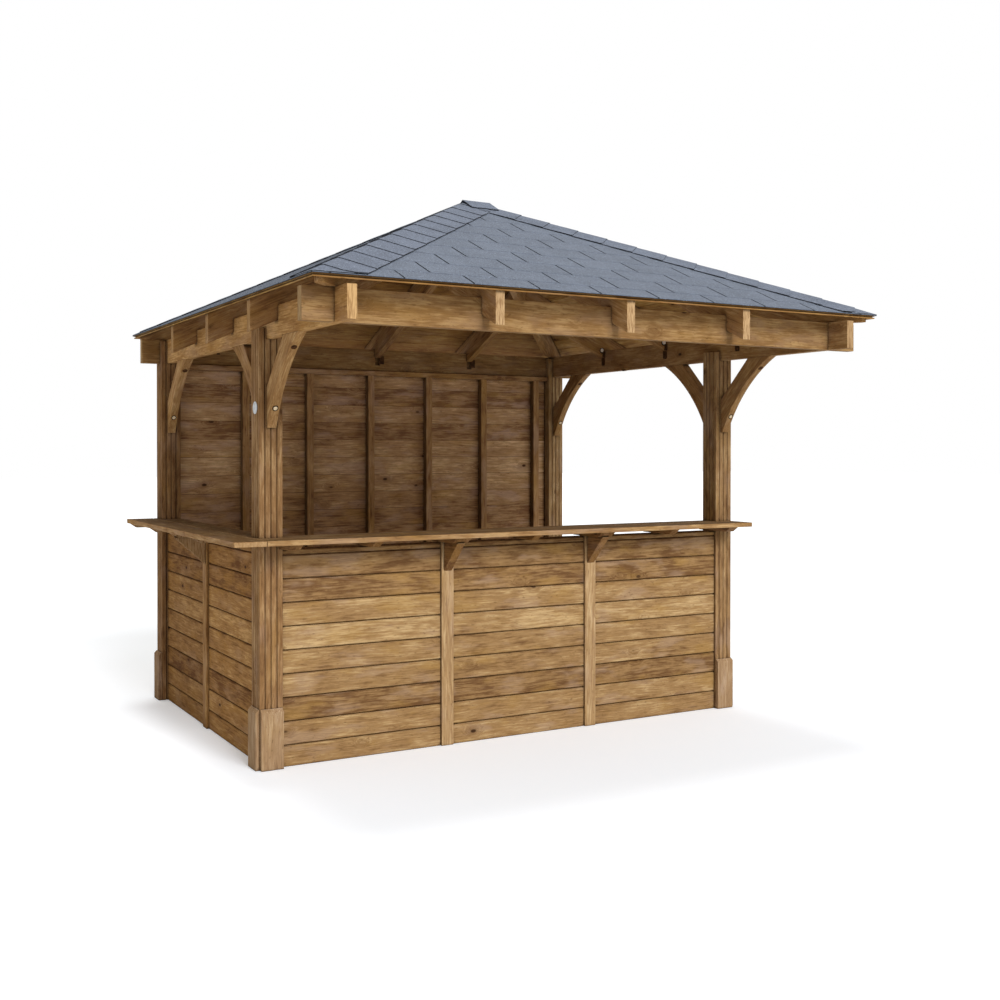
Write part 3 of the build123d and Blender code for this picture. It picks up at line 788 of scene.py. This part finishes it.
# fixings
def mottled(name, scale, detail, low, high, rough, specular, metallic=0.0, fine=300.0,
            height=.0003):
    """Small part in two near tones."""
    t = Tree(name)
    place = t.place()
    color = t.mix(t.ramp(t.noise(place, scale, detail), .3, .7), low, high)
    return t.finish(color, t.noise(place, fine, 1.0), rough, specular, metallic, height)


# slots of the fixings' materials; the hole and bore slots are dark painted shade
HOLE_SHADE_SLOT, PLUG_SLOT, BOLT_SLOT, BORE_SHADE_SLOT = range(4)


def disc(pile, centre, axis, radius, slot, proud=0.0):
    """Short round body whose face looks along axis, proud of centre."""
    axis = Vector(axis).normalized()
    turn = axis.to_track_quat("Z", "Y").to_matrix()
    rings = []
    for back in (-FIXING_DEPTH, 0):
        ring = [Vector((radius * math.cos(a), radius * math.sin(a), back)) for a in
                (2 * math.pi * k / DISC_POINTS for k in range(DISC_POINTS))]
        rings.append([Vector(centre) + axis * proud + turn @ p for p in ring])
    pile.rings(rings, slot)


def mortise(pile, spot, outward, aside, half, low, high):
    """Dark plate set proud at the mouth of a mortise below or beside a rafter's foot: painted
    shade
    of the hollow. aside: its distance from spot along +X or +Y, across outward."""
    (x, y), (ox, oy) = spot, outward
    x, y = x + abs(oy) * aside, y + abs(ox) * aside
    pile.rings([[(x + ox * proud + oy * side, y + oy * proud + ox * side, z) for side, z in
                 ((-half, low), (half, low), (half, high), (-half, high))]
                for proud in (-MORTISE_DEPTH, MORTISE_PROUD)], BORE_SHADE_SLOT)


def brace_edge(face, sign, share):
    """Point (y, z) and outward normal on a brace's hollow edge, share of the way from foot to
    tip. The brace leaves the post's face towards sign."""
    foot = Vector((face + sign * BRACE_FOOT, BEAM_Z - BRACE_DROP))
    tip = Vector((face + sign * BRACE_REACH, BEAM_Z))
    chord = tip - foot
    out = Vector((sign * chord.y, -sign * chord.x)).normalized()
    half = chord.length / 2
    radius = (half ** 2 + BRACE_SAG ** 2) / (2 * BRACE_SAG)
    centre = (foot + tip) / 2 + out * (radius - BRACE_SAG)
    spot = foot + chord * share
    offset = (spot - (foot + tip) / 2).dot(chord.normalized())
    point = spot + out * ((radius - BRACE_SAG) - math.sqrt(radius ** 2 - offset ** 2))
    normal = (centre - point).normalized()
    return (point.x, point.y), (normal.x, normal.y)


def fixings():
    """A plugged bolt low on every brace and an open counterbore near its tip, both square to
    the hollow edge; bolt ends on the side rafters; mortise mouths in the beams and rafters. The
    holes, the rings round the bolts, the counterbores and the mortise mouths are dark discs and
    plates: painted shade."""
    pile = Pile()
    for sign_x in (-1, 1):
        x = MIDDLE + sign_x * BRACE_X
        for face, sign in ((FRONT_FACE, -1), (FRONT_FACE + POST, 1), (BACK_FACE, -1)):
            (y, z), (ny, nz) = brace_edge(face, sign, PLUG_AT)
            disc(pile, (x, y, z), (0, ny, nz), HOLE, HOLE_SHADE_SLOT, HOLE_PROUD)
            disc(pile, (x, y, z), (0, ny, nz), PLUG, PLUG_SLOT, PLUG_PROUD)
            (y, z), (ny, nz) = brace_edge(face, sign, BORE_AT)
            disc(pile, (x, y, z), (0, ny, nz), BORE, BORE_SHADE_SLOT, BORE_PROUD)
    for sign_x in (-1, 1):
        for y in SIDE_RAFTERS:
            x = MIDDLE + sign_x * BOLT_X
            disc(pile, (x, y, RING_Z), (0, -1, 0), BOLT_RING, HOLE_SHADE_SLOT, RING_PROUD)
            disc(pile, (x, y, BOLT_Z), (0, -1, 0), BOLT, BOLT_SLOT, BOLT_PROUD)
            mortise(pile, (MIDDLE + sign_x * SIDE_BEAM_FACE, y), (-sign_x, 0), *SIDE_MORTISE)
            mortise(pile, (MIDDLE + sign_x * RAFTER_FOOT_X, y), (0, -1), *FOOT_MORTISE)
        disc(pile, (MIDDLE + sign_x * NAIL_X, NAIL_Y, NAIL_Z), (0, 0, -1), NAIL_HOLE, HOLE_SHADE_SLOT)
    for sign_y in (-1, 1):
        for x in FRONT_RAFTERS:
            mortise(pile, (MIDDLE + x, sign_y * FRONT_BEAM_FACE), (0, -sign_y), *FRONT_MORTISE)
    # the hole and bore materials are dark painted shade
    materials = [dark_wood("bolt_hole_shade", rgb(36, 22, 13), rgb(54, 35, 20)),
                 mottled("plug_end_grain", 160.0, 3.0, rgb(205, 178, 136), rgb(244, 224, 190),
                         .75, .1),
                 mottled("zinc_bolt", 120.0, 2.0, rgb(222, 210, 194), rgb(250, 242, 230),
                         .45, .5, metallic=.2),
                 dark_wood("bore_shade", rgb(54, 34, 19), rgb(80, 52, 30))]
    return pile.build("plugs_and_bolts", materials)


fixings()

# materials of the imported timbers
brace_fore = wood("brace_grain_fore", (0, -1, 1), (1.04, 1.04, 1.04), knots=.4, spread=.08)
brace_rear = wood("brace_grain_rear", (0, 1, 1), knots=.4, spread=.08)
# the right braces' copy is darkened: painted shade
brace_far = wood("brace_grain_right", (0, -1, 1), (.86, .84, .80), knots=.4, spread=.08)
blank_plate = mottled("blank_plate", 60.0, 3.0, rgb(176, 180, 182), rgb(206, 209, 210), .42, .5,
                      fine=400.0, height=.0002)
FINISH = {
    "front_plinth_boards": plinth_wood, "back_plinth_boards": plinth_wood,
    "front_rafters": rafter_front, "back_rafters": rafter_back, "left_rafters": rafter_left,
    "right_rafters": rafter_right, "hip_rafters": rafter_hip, "ridge_board": wood_x,
    "back_wall_studs": stud_wood, "back_wall_top_rail": rail_wood,
    "beam_front": wood_x, "beam_back": wood_x, "beam_left": wood_left, "beam_right": wood_y,
    "counter_brackets": wood_y, "counter_front": counter_x, "counter_left": counter_y,
    "front_mid_posts": trim_wood, "side_mid_post": side_trim,
    "post_front_left": post_left, "post_front_right": post_right,
    "post_back_left": post_left, "post_back_right": post_right,
    "brace_front_left_fore": brace_fore, "brace_back_left": brace_fore,
    "brace_front_right_fore": brace_far, "brace_back_right": brace_far,
    "brace_front_left_rear": brace_rear, "brace_front_right_rear": brace_rear,
    "post_plate": blank_plate,
}
for node_name, material in FINISH.items():
    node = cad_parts[node_name]
    if not node.material_slots:
        node.data.materials.append(material)
    for entry in node.material_slots:
        entry.material = material
    if node_name != "post_plate":
        weld = node.modifiers.new("join", "WELD")
        weld.merge_threshold = WELD
        soften(node, TIMBER_ARRIS)
        even = node.modifiers.new("even", "WEIGHTED_NORMAL")
        even.weight = 100
        even.keep_sharp = False


# floor, light and camera
def lay_floor():
    """Plain pale floor just below the object."""
    mesh = bpy.data.meshes.new("studio_floor")
    corners = [(-1, -1), (1, -1), (1, 1), (-1, 1)]
    mesh.from_pydata([(x * FLOOR_REACH, y * FLOOR_REACH, -.001) for x, y in corners],
                     [], [(0, 1, 2, 3)])
    t = Tree("studio_floor")
    rays = t.add("LightPath").outputs["Is Camera Ray"]
    diffuse = t.add("BsdfDiffuse", {"Color": FLOOR_COLOR})
    glow = t.add("Emission", {"Color": (1, 1, 1, 1), "Strength": t.times(rays, FLOOR_GLOW)})
    both = t.add("AddShader", {0: diffuse.outputs[0], 1: glow.outputs[0]})
    t.add("OutputMaterial", {0: both.outputs[0]})
    mesh.materials.append(t.material)
    floor = bpy.data.objects.new("studio_floor", mesh)
    bpy.context.scene.collection.objects.link(floor)


def set_world():
    """White to the camera; a dimmer, slightly warm light to everything else."""
    world = bpy.data.worlds.new("studio")
    bpy.context.scene.world = world
    world.use_nodes = True
    nodes, links = world.node_tree.nodes, world.node_tree.links
    nodes.clear()
    path = nodes.new("ShaderNodeLightPath")
    level = nodes.new("ShaderNodeMapRange")
    links.new(path.outputs["Is Camera Ray"], level.inputs["Value"])
    level.inputs["To Min"].default_value = WORLD_LEVEL
    level.inputs["To Max"].default_value = 1.0
    tint = nodes.new("ShaderNodeMix")
    tint.data_type = "RGBA"
    links.new(path.outputs["Is Camera Ray"], tint.inputs[0])
    tint.inputs[6].default_value = WORLD_TINT
    tint.inputs[7].default_value = (1, 1, 1, 1)
    back = nodes.new("ShaderNodeBackground")
    links.new(tint.outputs[2], back.inputs["Color"])
    links.new(level.outputs[0], back.inputs["Strength"])
    surface = nodes.new("ShaderNodeOutputWorld")
    links.new(back.outputs[0], surface.inputs["Surface"])


def hang_lamps():
    for name, azimuth, elevation, strength, spread, color in SUNS:
        lamp = bpy.data.lights.new(name, "SUN")
        lamp.energy = strength
        lamp.color = color
        lamp.angle = math.radians(spread)
        obj = bpy.data.objects.new(name, lamp)
        obj.rotation_euler = (math.radians(90 - elevation), 0, math.radians(azimuth))
        bpy.context.scene.collection.objects.link(obj)


def set_camera():
    """The photograph's viewpoint."""
    data = bpy.data.cameras.new("camera")
    camera = bpy.data.objects.new("camera", data)
    bpy.context.scene.collection.objects.link(camera)
    camera.location = CAMERA_PLACE
    camera.rotation_euler = (math.radians(90 - CAMERA_DIP), 0, math.radians(CAMERA_TURN))
    data.sensor_width = SENSOR
    data.lens = FOCAL_PIXELS * SENSOR / PHOTO_PIXELS
    data.shift_x = SHIFT_X
    data.shift_y = SHIFT_Y
    data.clip_end = 200
    bpy.context.scene.camera = camera


lay_floor()
set_world()
hang_lamps()
set_camera()
bpy.context.scene.view_settings.view_transform = "Standard"
